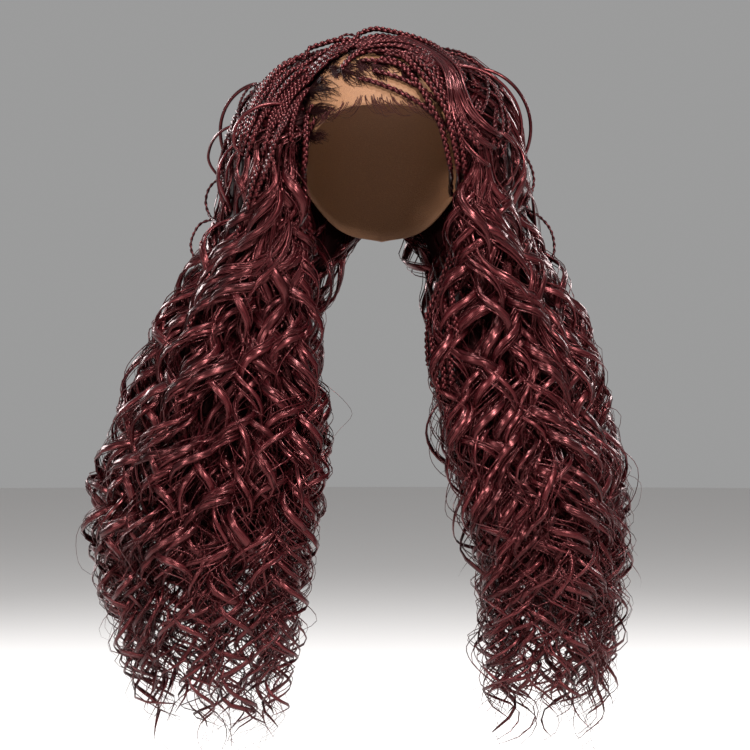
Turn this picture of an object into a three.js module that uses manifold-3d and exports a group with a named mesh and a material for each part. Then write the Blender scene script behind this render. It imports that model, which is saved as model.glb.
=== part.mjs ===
// A long braid wig with curly ends, as it hangs when worn: a lace cap, thin braids that run from a
// side parting over the cap, and curly locks that fall in front of both shoulders.
// Millimetres. +Z is up, the wig's front faces -Y, and left and right are as seen from the front.
// The origin is the inside top of the cap, which sits on the crown of the head.
import * as THREE from "three";
import { ParametricGeometry } from "three/addons/geometries/ParametricGeometry.js";
import { mergeVertices } from "three/addons/utils/BufferGeometryUtils.js";
import Module from "manifold-3d";

const wasm = await Module();
wasm.setup();

// The head form that the cap fits: its width, its length, and its height above and below the ear
// line, where it is widest. Squareness is 2 for an ellipsoid.
const HEAD_WIDTH = 168;
const HEAD_LENGTH = 200;
const DOME_HEIGHT = 100;
const LOWER_HEIGHT = 175;
const HEAD_SQUARENESS = 2.3;

// The cap: its lace, and how far its edge lies below its top at the nape
const LACE_THICKNESS = 1.5;
const NAPE_DROP = 186;
const CAP_SLICES = 36;
const CAP_ROWS = 8;

// The cap's edge round half of the head, from the forehead to the nape, in shares of NAPE_DROP
const CAP_RIM = [
  { azimuth: 0, drop: 0.33 },
  { azimuth: 28, drop: 0.36 },
  { azimuth: 50, drop: 0.485 },
  { azimuth: 66, drop: 0.71 },
  { azimuth: 80, drop: 0.74 },
  { azimuth: 96, drop: 0.645 },
  { azimuth: 120, drop: 0.75 },
  { azimuth: 150, drop: 0.945 },
  { azimuth: 180, drop: 1 },
];

// The parting runs from the hairline, left of the middle, back to the crown
const PARTING = [
  { azimuth: -24, elevation: 34 },
  { azimuth: -38, elevation: 58 },
  { azimuth: -80, elevation: 77 },
  { azimuth: 180, elevation: 64 },
];

// Each side's hair crosses the ear line between these azimuths
const TEMPLE_AZIMUTH = 50;
const NAPE_AZIMUTH = 178.5;

// Braids, each with the gap under it. The longest one shows BRAID_LENGTH below the ear line.
const BRAIDS_PER_SIDE = 13;
const BRAID_WIDTH = 6.4;
const BRAID_GAP = 0.65;
const BRAID_TIP_WIDTH = 4;
const BRAID_LENGTH = 235;
const BRAID_SIDES = 5;
const BRAID_STEP = 16.5;

// Braid roots from the temple back, as shares of the way from the ear line up to the parting
const BRAID_ROOTS = {
  left: [0.36, 0.48, 0.4, 0.56, 0.64, 0.93, 0.42, 0.8, 0.72, 0.93, 0.5, 0.86, 0.64],
  right: [0.93, 0.84, 0.93, 0.86, 0.64, 0.93, 0.42, 0.8, 0.72, 0.93, 0.5, 0.86, 0.64],
};

// Braid ends from the temple back, as shares of BRAID_LENGTH. The last one holds for the rest.
const BRAID_ENDS = {
  left: [0.45, 0.26, 0.17, 0.13],
  right: [0.72, 0.91, 1, 0.85, 0.77, 0.13],
};

// Curls: the longest tip below the cap's top, the thickness over the cap, the reach of each fall
// to its side, in front and behind, and the length of one wave
const HAIR_LENGTH = 712;
const HAIR_THICKNESS = 80;
const SIDE_REACH = { left: 278, right: 234 };
const FRONT_REACH = 152;
const BACK_REACH = 100;
const CURL_LENGTH = 78;
const CURL_CLEARANCE = 3.2;

// Below the ear line, where the hair leaves the cap and the stretch in which it then takes the
// shape of its fall
const SWEEP_START = 30;
const SWEEP = 160;

// How much further out the falls' inner sides lie at the sides of the neck than in front of it,
// and below the ear line, where that starts to fade and the stretch in which it does
const NECK_ROOM = 16;
const NECK_END = 190;
const NECK_FADE = 120;

// Hair over the cap, from the temple to the nape: its thickness at the ear line as a share of
// HAIR_THICKNESS, and its top as a share of the way from the ear line up to the parting
const VOLUME = {
  left: [
    { depth: 0, thickness: 0.54, top: 0.12 },
    { depth: 0.25, thickness: 0.88, top: 0.45 },
    { depth: 0.5, thickness: 1, top: 0.74 },
    { depth: 0.75, thickness: 0.76, top: 0.88 },
    { depth: 1, thickness: 0.56, top: 0.9 },
  ],
  right: [
    { depth: 0, thickness: 0.44, top: 0.12 },
    { depth: 0.25, thickness: 0.66, top: 0.4 },
    { depth: 0.5, thickness: 0.76, top: 0.64 },
    { depth: 0.75, thickness: 0.7, top: 0.86 },
    { depth: 1, thickness: 0.56, top: 0.9 },
  ],
};

// Each fall of curls, level by level: its drop below the cap's top as a share of HAIR_LENGTH, its
// inner and outer sides of SIDE_REACH, its front of FRONT_REACH and its back of BACK_REACH
const FALLS = {
  left: [
    { drop: 0.28, inner: 0.21, outer: 0.695, front: 0.55, back: 1 },
    { drop: 0.39, inner: 0.19, outer: 0.8, front: 0.66, back: 0.95 },
    { drop: 0.505, inner: 0.165, outer: 0.905, front: 0.83, back: 0.8 },
    { drop: 0.62, inner: 0.18, outer: 1, front: 0.975, back: 0.6 },
    { drop: 0.715, inner: 0.24, outer: 0.985, front: 1, back: 0.45 },
    { drop: 0.83, inner: 0.295, outer: 0.89, front: 0.935, back: 0.3 },
    { drop: 0.915, inner: 0.325, outer: 0.805, front: 0.84, back: 0.15 },
    { drop: 1, inner: 0.4, outer: 0.685, front: 0.685, back: -0.1 },
  ],
  right: [
    { drop: 0.28, inner: 0.265, outer: 0.78, front: 0.55, back: 1 },
    { drop: 0.39, inner: 0.19, outer: 0.86, front: 0.66, back: 0.95 },
    { drop: 0.505, inner: 0.23, outer: 0.93, front: 0.8, back: 0.8 },
    { drop: 0.62, inner: 0.31, outer: 1, front: 0.945, back: 0.6 },
    { drop: 0.715, inner: 0.395, outer: 0.99, front: 0.975, back: 0.45 },
    { drop: 0.83, inner: 0.41, outer: 0.955, front: 0.91, back: 0.3 },
    { drop: 0.915, inner: 0.43, outer: 0.905, front: 0.815, back: 0.15 },
    { drop: 1, inner: 0.52, outer: 0.8, front: 0.66, back: -0.1 },
  ],
};

// The groups of locks in each fall: the shares of its depth between which each lies, how many
// locks show on each face, and how many loose tips it has. A face with none meets a neighbour.
const GROUPS = [
  { name: "front", from: 0, to: 1 / 3, front: 4, outer: 1, back: 0, inner: 1, tips: 4 },
  { name: "side", from: 1 / 3, to: 2 / 3, front: 0, outer: 2, back: 0, inner: 1, tips: 2 },
  { name: "back", from: 2 / 3, to: 1, front: 0, outer: 1, back: 4, inner: 1, tips: 4 },
];
const GROUP_GAP = 3.2;
const GROUP_STEP = 28;

// A group's body narrows over its last stretch to a share of its size, where its tips come out
const BODY_END = 0.91;
const BODY_END_SIZE = 0.8;
const BODY_NARROWING = 120;

// The top of a group lies this far along from the ear line to where its thickness runs out
const CROWN = 0.98;

// Locks on a face: the depth of the valleys, how much of it a crest dips in each wave, the swing
// in shares of a step between points, and the turn from one lock's wave to the next
const LOCK_RELIEF = 20;
const CREST_DIP = 0.65;
const LOCK_SWING = 0.4;
const LOCK_TURN = 2.1;
const POINTS_PER_LOCK = 3;

// Loose tips: their ends as shares of HAIR_LENGTH, taken in turn, the stretch inside the body,
// their size and swing, and how they stand in front of and behind the middle of their group
const TIP_ENDS = [0.955, 1, 0.97, 0.94, 0.99];
const TIP_ROOT = 26;
const TIP_RADIUS = 14;
const TIP_NARROWING = 0.6;
const TIP_POINT = 0.2;
const TIP_SWING = 6;
const TIP_STAGGER = 0.15;
const TIP_SIDES = 5;
const TIP_STEP = 28;

// The tuft that ties each group to the cap between two braids: its radius, its height above the
// ear line, how far it reaches into the group, and its gap to the lace
const TUFT_RADIUS = 2.6;
const TUFT_HEIGHT = 10;
const TUFT_REACH = 9;
const TUFT_GAP = 0.2;
const TUFT_STEPS = 2;

// Limits of the search for the cap's edge, in degrees
const LOWEST_ELEVATION = -80;
const HIGHEST_ELEVATION = 89;
const SEARCH_STEPS = 40;

const DEGREE = Math.PI / 180;
const FULL_TURN = 2 * Math.PI;
const SIDES = { left: -1, right: 1 };
const HEAD_MIDDLE = new THREE.Vector3(0, 0, -DOME_HEIGHT);

// What lies between the head and the curls, and a mean arc from the ear line up to the parting
const UNDER_CURLS = LACE_THICKNESS + BRAID_GAP + BRAID_WIDTH + CURL_CLEARANCE;
const CAP_ARC = (Math.PI / 4) * (DOME_HEIGHT + HEAD_WIDTH / 2);

const LACE = new THREE.MeshStandardMaterial({ color: 0xc08a58, roughness: 0.85, metalness: 0 });
const BRAID = new THREE.MeshStandardMaterial({ color: 0x2e1013, roughness: 0.45, metalness: 0 });
const CURL = new THREE.MeshStandardMaterial({ color: 0x3f161b, roughness: 0.4, metalness: 0 });

const lerp = THREE.MathUtils.lerp;
const clamp = THREE.MathUtils.clamp;

// The value of a table's column where its key column is at, along a smooth curve through the rows
function fromTable(rows, key, column, at) {
  const last = rows.length - 1;
  const x = clamp(at, rows[0][key], rows[last][key]);
  let i = 0;
  while (i < last - 1 && x > rows[i + 1][key]) i += 1;
  const slope = (n) => {
    const before = rows[Math.max(n - 1, 0)];
    const after = rows[Math.min(n + 1, last)];
    return (after[column] - before[column]) / (after[key] - before[key]);
  };
  const run = rows[i + 1][key] - rows[i][key];
  const t = (x - rows[i][key]) / run;
  const straight = lerp(rows[i][column], rows[i + 1][column], t * t * (3 - 2 * t));
  return straight + run * t * (1 - t) * (slope(i) * (1 - t) - slope(i + 1) * t);
}

function direction(azimuth, elevation) {
  const a = azimuth * DEGREE;
  const e = elevation * DEGREE;
  return new THREE.Vector3(Math.sin(a) * Math.cos(e), -Math.cos(a) * Math.cos(e), Math.sin(e));
}

// The point of the head form in a direction from its middle, a standoff outside its surface
function onHead(toward, standoff) {
  const power = HEAD_SQUARENESS;
  const sum = [toward.x, toward.y, toward.z].reduce((all, c) => all + Math.abs(c) ** power, 0);
  const size = sum ** (-1 / power);
  const height = toward.z >= 0 ? DOME_HEIGHT : LOWER_HEIGHT;
  return new THREE.Vector3(
    (HEAD_WIDTH / 2 + standoff) * size * toward.x,
    (HEAD_LENGTH / 2 + standoff) * size * toward.y,
    (height + standoff) * size * toward.z - DOME_HEIGHT,
  );
}

// A closed surface from a function of two shares, as a manifold solid
function solid(surface, slices, rows) {
  const geometry = new ParametricGeometry(surface, slices, rows);
  geometry.deleteAttribute("normal");
  geometry.deleteAttribute("uv");
  const merged = mergeVertices(geometry, 1e-3);
  const index = merged.index.array;
  const kept = [];
  for (let i = 0; i < index.length; i += 3) {
    const [a, b, c] = [index[i], index[i + 1], index[i + 2]];
    if (a !== b && b !== c && c !== a) kept.push(a, b, c);
  }
  const vertProperties = merged.attributes.position.array;
  const triVerts = new Uint32Array(kept);
  return new wasm.Manifold(new wasm.Mesh({ numProp: 3, vertProperties, triVerts }));
}

// A closed surface through rings of as many points each, with a point at each end
function loft(rings, first, last) {
  const count = rings[0].length;
  const rows = rings.length + 1;
  return solid(
    (around, along, target) => {
      const row = Math.round(along * rows) - 1;
      if (row < 0) target.copy(first);
      else if (row === rings.length) target.copy(last);
      else target.copy(rings[row][Math.round((1 - around) * count) % count]);
    },
    count,
    rows,
  );
}

// A tube along a path, with a flat side turned away from the way that facing gives for a point.
// The path and the radius are functions of the share of its length.
function tube(path, radius, facing, sides, steps) {
  const centres = [];
  for (let i = 0; i <= steps; i += 1) centres.push(path(i / steps));
  const rings = centres.map((centre, i) => {
    const before = centres[Math.max(i - 1, 0)];
    const tangent = centres[Math.min(i + 1, steps)].clone().sub(before).normalize();
    const normal = facing(centre).projectOnPlane(tangent).normalize();
    const side = tangent.clone().cross(normal);
    const ring = [];
    for (let n = 0; n < sides; n += 1) {
      const angle = (-n / sides) * FULL_TURN;
      const point = centre
        .clone()
        .addScaledVector(normal, radius(i / steps) * Math.cos(angle))
        .addScaledVector(side, radius(i / steps) * Math.sin(angle));
      ring.push(point);
    }
    return ring;
  });
  return loft(rings, centres[0], centres[steps]);
}

function meshOf(made, name, material) {
  const { vertProperties, triVerts } = made.getMesh();
  const geometry = new THREE.BufferGeometry();
  geometry.setAttribute("position", new THREE.BufferAttribute(vertProperties, 3));
  geometry.setIndex(new THREE.BufferAttribute(triVerts, 1));
  geometry.computeVertexNormals();
  const mesh = new THREE.Mesh(geometry, material);
  mesh.name = name;
  return mesh;
}

// The elevation at which the head form lies a given drop below the cap's top
function elevationOfDrop(azimuth, drop) {
  let low = LOWEST_ELEVATION;
  let high = HIGHEST_ELEVATION;
  for (let i = 0; i < SEARCH_STEPS; i += 1) {
    const middle = (low + high) / 2;
    if (onHead(direction(azimuth, middle), 0).z < -drop) low = middle;
    else high = middle;
  }
  return low;
}

// A shell from the outside top down to the edge and back up the inside
function laceCap() {
  const rings = [];
  const ringAt = (share, standoff) => {
    const ring = [];
    for (let i = 0; i < CAP_SLICES; i += 1) {
      const azimuth = (360 * i) / CAP_SLICES;
      const fromFront = Math.min(azimuth, 360 - azimuth);
      const drop = NAPE_DROP * fromTable(CAP_RIM, "azimuth", "drop", fromFront);
      const elevation = lerp(90, elevationOfDrop(azimuth, drop), share);
      ring.push(onHead(direction(azimuth, elevation), standoff));
    }
    return ring;
  };
  for (let row = 1; row <= CAP_ROWS; row += 1) rings.push(ringAt(row / CAP_ROWS, LACE_THICKNESS));
  for (let row = CAP_ROWS; row >= 1; row -= 1) rings.push(ringAt(row / CAP_ROWS, 0));
  const top = direction(0, 90);
  return loft(rings, onHead(top, LACE_THICKNESS), onHead(top, 0));
}

const partingPoints = PARTING.map((row) => direction(row.azimuth, row.elevation));
const partingCurve = new THREE.CatmullRomCurve3(partingPoints, false, "catmullrom", 0.5);

// The direction of a place in the hair over the cap, at a share of the depth from the temple to
// the nape and of the height from the ear line to the parting
function capDirection(side, depth, height) {
  const azimuth = SIDES[side] * lerp(TEMPLE_AZIMUTH, NAPE_AZIMUTH, depth);
  const low = direction(azimuth, 0);
  const high = partingCurve.getPoint(clamp(depth, 0, 1)).normalize();
  const angle = low.angleTo(high);
  return low
    .multiplyScalar(Math.sin((1 - height) * angle))
    .addScaledVector(high, Math.sin(height * angle))
    .divideScalar(Math.sin(angle));
}

// The place in a side's hair at a level, which is the distance below the ear line, or with a
// minus above it over the cap. across goes from the inner side to the outer one and depth from the
// front to the back. inside is how far the place lies beyond the hair's inner side.
function place(side, level, across, depth, inside = 0) {
  const thickness = HAIR_THICKNESS * fromTable(VOLUME[side], "depth", "thickness", depth);
  const top = fromTable(VOLUME[side], "depth", "top", depth);
  const height = Math.max(-level / CAP_ARC, 0);
  const roof = Math.sqrt(Math.max(1 - (height / top) ** 2, 0));
  const standoff = UNDER_CURLS - inside + across * (thickness - UNDER_CURLS) * roof;
  const onCap = onHead(capDirection(side, depth, height), standoff);
  if (level <= 0) return onCap;
  const at = (column) =>
    fromTable(FALLS[side], "drop", column, (DOME_HEIGHT + level) / HAIR_LENGTH);
  const [inner, outer] = [SIDE_REACH[side] * at("inner"), SIDE_REACH[side] * at("outer")];
  const [front, back] = [-FRONT_REACH * at("front"), BACK_REACH * at("back")];
  const [u, w] = [2 * across - 1, 2 * depth - 1];
  const room = NECK_ROOM * (1 - THREE.MathUtils.smoothstep(level, NECK_END, NECK_END + NECK_FADE));
  const innerX = inner + room * (1 - w * w) - inside;
  const outerX = (inner + outer) / 2 + ((outer - inner) / 2) * Math.sqrt(1 - (w * w) / 2);
  const y = (front + back) / 2 + ((back - front) / 2) * w * Math.sqrt(1 - (u * u) / 2);
  const swept = THREE.MathUtils.smoothstep(level, SWEEP_START, SWEEP_START + SWEEP);
  return new THREE.Vector3(
    lerp(onCap.x, SIDES[side] * lerp(innerX, outerX, across), swept),
    lerp(onCap.y, y, swept),
    -DOME_HEIGHT - level,
  );
}

function braid(side, number) {
  const depth = (number + 0.5) / BRAIDS_PER_SIDE;
  const root = -CAP_ARC * BRAID_ROOTS[side][number];
  const ends = BRAID_ENDS[side];
  const end = BRAID_LENGTH * ends[Math.min(number, ends.length - 1)];
  const flatSide = (BRAID_WIDTH / 2) * Math.cos(Math.PI / BRAID_SIDES);
  const inside = UNDER_CURLS - LACE_THICKNESS - BRAID_GAP - flatSide;
  return tube(
    (share) => place(side, lerp(root, end, share), 0, depth, inside),
    (share) => lerp(BRAID_WIDTH, BRAID_TIP_WIDTH, share) / 2,
    (point) => point.clone().sub(HEAD_MIDDLE),
    BRAID_SIDES,
    Math.round((end - root) / BRAID_STEP),
  );
}

// The four faces of a group in turn round its outline, in shares across it and of its depth: the
// corner where each starts, the way it runs, and the way from it into the group
const FACES = [
  { name: "front", corner: [0, 0], run: [1, 0], inward: [0, 1] },
  { name: "outer", corner: [1, 0], run: [0, 1], inward: [-1, 0] },
  { name: "back", corner: [1, 1], run: [-1, 0], inward: [0, -1] },
  { name: "inner", corner: [0, 1], run: [0, -1], inward: [1, 0] },
];

// The outline of a group at a level, as shares across the fall and of the fall's depth. Each lock
// on it is a valley and two points of a crest that swings and dips with the waves of the hair.
function outlineAt(side, group, level) {
  const turn = (FULL_TURN * level) / CURL_LENGTH;
  const fallDepth = FRONT_REACH + BACK_REACH;
  const gap = GROUP_GAP / 2 / fallDepth;
  const points = [];
  for (const { name, corner, run, inward } of FACES) {
    const locks = group[name];
    const count = POINTS_PER_LOCK * Math.max(locks, 1);
    for (let i = 0; i < count; i += 1) {
      const swing = i > 0 && locks > 0 ? LOCK_SWING * Math.sin(turn) : 0;
      const along = (i + swing) / count;
      const valley = i % POINTS_PER_LOCK === 0;
      const lock = Math.floor(i / POINTS_PER_LOCK);
      const dip = valley ? 1 : (CREST_DIP * (1 - Math.sin(turn + LOCK_TURN * lock))) / 2;
      const inset = locks > 0 ? LOCK_RELIEF * dip : 0;
      const own = corner[1] + run[1] * along;
      points.push({
        across: corner[0] + run[0] * along + (inward[0] * inset) / SIDE_REACH[side],
        depth: lerp(group.from + gap, group.to - gap, own) + (inward[1] * inset) / fallDepth,
      });
    }
  }
  return points;
}

function groupBody(side, group) {
  const start = -CAP_ARC * CROWN;
  const end = BODY_END * HAIR_LENGTH - DOME_HEIGHT;
  const steps = Math.round((end - start) / GROUP_STEP);
  const middle = (group.from + group.to) / 2;
  // Over the cap each level is drawn down to where the hair's top lies at that depth
  const placeAt = (level, across, depth) => {
    const top = fromTable(VOLUME[side], "depth", "top", depth);
    return place(side, level < 0 ? level * top : level, across, depth);
  };
  const rings = [];
  for (let i = 0; i <= steps; i += 1) {
    const level = lerp(start, end, i / steps);
    const left = THREE.MathUtils.smoothstep(end - level, 0, BODY_NARROWING);
    const size = lerp(BODY_END_SIZE, 1, left);
    const ring = outlineAt(side, group, level).map(({ across, depth }) =>
      placeAt(level, lerp(0.5, across, size), lerp(middle, depth, size)),
    );
    rings.push(SIDES[side] > 0 ? ring : ring.reverse());
  }
  return loft(rings, placeAt(start, 0.5, middle), placeAt(end, 0.5, middle));
}

// The loose end of a lock, out of the end of its group's body
function looseTip(side, group, number) {
  const start = BODY_END * HAIR_LENGTH - DOME_HEIGHT - TIP_ROOT;
  const end = TIP_ENDS[number % TIP_ENDS.length] * HAIR_LENGTH - DOME_HEIGHT;
  const across = lerp(0.5, (number + 0.5) / group.tips, BODY_END_SIZE);
  const stagger = number % 2 ? TIP_STAGGER : -TIP_STAGGER;
  const depth = lerp(group.from, group.to, 0.5 + stagger);
  return tube(
    (share) => {
      const level = lerp(start, end, share);
      const turn = (FULL_TURN * level) / CURL_LENGTH + LOCK_TURN * number;
      const point = place(side, level, across, depth);
      point.x += TIP_SWING * Math.sin(turn);
      point.y += TIP_SWING * Math.cos(turn);
      return point;
    },
    (share) => TIP_RADIUS * Math.min(1, lerp(TIP_POINT, 1, (1 - share) / TIP_NARROWING)),
    () => new THREE.Vector3(0, -1, 0),
    TIP_SIDES,
    Math.round((end - start) / TIP_STEP),
  );
}

function tuft(side, group) {
  const middle = (group.from + group.to) / 2;
  const betweenBraids = Math.round(middle * BRAIDS_PER_SIDE) / BRAIDS_PER_SIDE;
  const toward = capDirection(side, betweenBraids, TUFT_HEIGHT / CAP_ARC);
  const [low, high] = [LACE_THICKNESS + TUFT_GAP, UNDER_CURLS + TUFT_REACH];
  const path = (share) => onHead(toward, lerp(low, high, share));
  return tube(path, () => TUFT_RADIUS, () => new THREE.Vector3(0, 0, 1), TIP_SIDES, TUFT_STEPS);
}

function curls(side, group) {
  let joined = groupBody(side, group).add(tuft(side, group));
  for (let i = 0; i < group.tips; i += 1) joined = joined.add(looseTip(side, group, i));
  return joined;
}

const wig = new THREE.Group();
wig.add(meshOf(laceCap(), "lace_cap", LACE));
for (const side of Object.keys(SIDES)) {
  for (let i = 0; i < BRAIDS_PER_SIDE; i += 1) {
    const name = `braid_${side}_${String(i + 1).padStart(2, "0")}`;
    wig.add(meshOf(braid(side, i), name, BRAID));
  }
  for (const group of GROUPS) {
    wig.add(meshOf(curls(side, group), `curls_${side}_${group.name}`, CURL));
  }
}

export default wig;
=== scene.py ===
"""The looks of a long braid wig with curly ends: plaits from a side parting over a lace cap, which
open into locks of waved hair that fall in front of both shoulders.

Metres, in the model's frame: +Z up, the wig's front faces -Y, left and right as seen from the front.
Places in the hair are given by a level, which is the distance below the ear line or with a minus
above it over the cap, a share across from the inner side to the outer one, and a share of the
depth from the front to the back.
"""
import math

import bpy
import numpy as np
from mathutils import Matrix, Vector


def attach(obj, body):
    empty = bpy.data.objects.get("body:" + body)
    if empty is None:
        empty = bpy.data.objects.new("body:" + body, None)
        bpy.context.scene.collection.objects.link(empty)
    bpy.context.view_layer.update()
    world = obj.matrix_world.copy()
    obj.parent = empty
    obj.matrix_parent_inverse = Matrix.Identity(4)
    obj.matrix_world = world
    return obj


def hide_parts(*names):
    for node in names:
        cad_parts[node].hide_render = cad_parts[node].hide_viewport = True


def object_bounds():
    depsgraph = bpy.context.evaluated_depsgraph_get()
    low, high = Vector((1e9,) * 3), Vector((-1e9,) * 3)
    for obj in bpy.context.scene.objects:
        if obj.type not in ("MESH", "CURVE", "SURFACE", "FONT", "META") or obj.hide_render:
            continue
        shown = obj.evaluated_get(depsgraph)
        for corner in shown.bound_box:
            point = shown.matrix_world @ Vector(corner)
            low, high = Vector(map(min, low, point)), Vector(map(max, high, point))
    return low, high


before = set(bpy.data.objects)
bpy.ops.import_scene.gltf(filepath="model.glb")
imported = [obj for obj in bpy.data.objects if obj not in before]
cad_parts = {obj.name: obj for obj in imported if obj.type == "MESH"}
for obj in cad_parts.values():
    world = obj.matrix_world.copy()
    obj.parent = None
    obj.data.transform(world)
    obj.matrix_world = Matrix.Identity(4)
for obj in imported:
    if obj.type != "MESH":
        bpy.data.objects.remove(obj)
model_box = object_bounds()

# The head form and the cap, as in the model
HEAD_WIDTH = 0.168
HEAD_LENGTH = 0.2
DOME_HEIGHT = 0.1
LOWER_HEIGHT = 0.175
HEAD_SQUARENESS = 2.3
LACE_THICKNESS = 0.0015
NAPE_DROP = 0.186
TEMPLE_AZIMUTH = 50
NAPE_AZIMUTH = 178.5

# Columns: degrees round from the front, how far down the cap's edge is as a share of NAPE_DROP
CAP_RIM = [
    (0, 0.33), (28, 0.36), (50, 0.485), (66, 0.71), (80, 0.74),
    (96, 0.645), (120, 0.75), (150, 0.945), (180, 1),
]

# The parting from the front to the back. Columns: azimuth and elevation in degrees
PARTING = [(-24, 34), (-38, 58), (-80, 77), (180, 64)]

# Braids, as in the model. Their roots are shares of the way up from the ear line to the parting,
# and their ends shares of BRAID_LENGTH
BRAIDS_PER_SIDE = 13
BRAID_WIDTH = 0.0064
BRAID_GAP = 0.00065
BRAID_LENGTH = 0.235
BRAID_ROOTS = {
    "left": [0.36, 0.48, 0.4, 0.56, 0.64, 0.93, 0.42, 0.8, 0.72, 0.93, 0.5, 0.86, 0.64],
    "right": [0.93, 0.84, 0.93, 0.86, 0.64, 0.93, 0.42, 0.8, 0.72, 0.93, 0.5, 0.86, 0.64],
}
BRAID_ENDS = {
    "left": [0.45, 0.26, 0.17, 0.13],
    "right": [0.72, 0.91, 1, 0.85, 0.77, 0.13],
}

# The hair's outer form, as in the model
HAIR_LENGTH = 0.712
HAIR_THICKNESS = 0.08
SIDE_REACH = {"left": 0.278, "right": 0.234}
FRONT_REACH = 0.152
BACK_REACH = 0.1
CURL_CLEARANCE = 0.0032
SWEEP_START = 0.03
SWEEP = 0.16
NECK_ROOM = 0.016
NECK_END = 0.19
NECK_FADE = 0.12
UNDER_CURLS = LACE_THICKNESS + BRAID_GAP + BRAID_WIDTH + CURL_CLEARANCE
CAP_ARC = math.pi / 4 * (DOME_HEIGHT + HEAD_WIDTH / 2)
COVERED_ARC = 0.97 * CAP_ARC  # what the hair covers of it

# Columns: share of the depth, thickness as a share of HAIR_THICKNESS, top as a share of the arc
VOLUME = {
    "left": [(0, 0.54, 0.12), (0.25, 0.88, 0.45), (0.5, 1, 0.74), (0.75, 0.76, 0.88), (1, 0.56, 0.9)],
    "right": [(0, 0.44, 0.12), (0.25, 0.66, 0.4), (0.5, 0.76, 0.64), (0.75, 0.7, 0.86), (1, 0.56, 0.9)],
}

# Columns: drop of HAIR_LENGTH, inner and outer of SIDE_REACH, front of FRONT_REACH, back of BACK_REACH
FALLS = {
    "left": [
        (0.28, 0.21, 0.695, 0.55, 1),
        (0.39, 0.19, 0.8, 0.66, 0.95),
        (0.505, 0.165, 0.905, 0.83, 0.8),
        (0.62, 0.18, 1, 0.975, 0.6),
        (0.715, 0.24, 0.985, 1, 0.45),
        (0.83, 0.295, 0.89, 0.935, 0.3),
        (0.915, 0.325, 0.805, 0.84, 0.15),
        (1, 0.4, 0.685, 0.685, -0.1),
    ],
    "right": [
        (0.28, 0.265, 0.78, 0.55, 1),
        (0.39, 0.19, 0.86, 0.66, 0.95),
        (0.505, 0.23, 0.93, 0.8, 0.8),
        (0.62, 0.31, 1, 0.945, 0.6),
        (0.715, 0.395, 0.99, 0.975, 0.45),
        (0.83, 0.41, 0.955, 0.91, 0.3),
        (0.915, 0.43, 0.905, 0.815, 0.15),
        (1, 0.52, 0.8, 0.66, -0.1),
    ],
}
SIDES = {"left": -1, "right": 1}
GROUPS = ["front", "side", "back"]

# Layers of locks from the outside in. size is how far out the layer lies, locks how many it has on
# each of FACES, strands how many fine ones part from a lock, points how many draw a lock, shade how
# dark the layers over it leave it, and start the highest level where its locks begin
LAYERS = [
    {"size": 0.94, "locks": (26, 18, 13, 0), "strands": 4, "points": 80, "shade": 0.0, "start": -1.0},
    {"size": 0.84, "locks": (15, 9, 6, 3), "strands": 2, "points": 64, "shade": 0.4, "start": -1.0},
    {"size": 0.6, "locks": (9, 3, 3, 2), "strands": 1, "points": 36, "shade": 0.6, "start": 0.28},
]
FACES = ["front", "outer", "back", "inner"]
LOCK_WIDTH = 0.0095
LOCK_FLATNESS = 0.34
STRAND_WIDTH = 0.0016
PHASE_ACROSS = 1.1
PHASE_DEPTH = 0.7
PHASE_NOISE = 0.9
WAVE_CROWDING = 1.2
WAVE_TOP = 0.09
WAVE_BOTTOM = 0.054
SWING_TOP = 0.01
SWING_MIDDLE = 0.0125
SWING_BOTTOM = 0.0115
SWING_RAMP = 0.08
STRAYS_PER_GROUP = 24
STRAY_WIDTH = 0.0007
LOOPS_PER_SIDE = 6
INNERMOST = 0.14

# Where locks open: the earliest level on each side, how much later some do, and the highest on the
# front and, as a share of the hair's top on the cap, elsewhere
EARLY_LOCKS = {"left": -0.02, "right": -0.085}
OPENING_SPREAD = 0.1
FRONT_OPENING = -0.02
HIGHEST_OPENING = 0.9

# How much shorter than the hair a lock may be, and the sizes of locks
OUTER_SHORTFALL = 0.04
INNER_SHORTFALL = 0.11
LOCK_SIZES = (0.42, 1.2)

# How the waves of one lock differ from those of the next
SWAY = 0.045
PERIODS = (0.76, 1.4)
SWINGS = (0.65, 1.5)
TURNS_LEFT = 0.4
SWING_OUTWARD = 0.85

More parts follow.
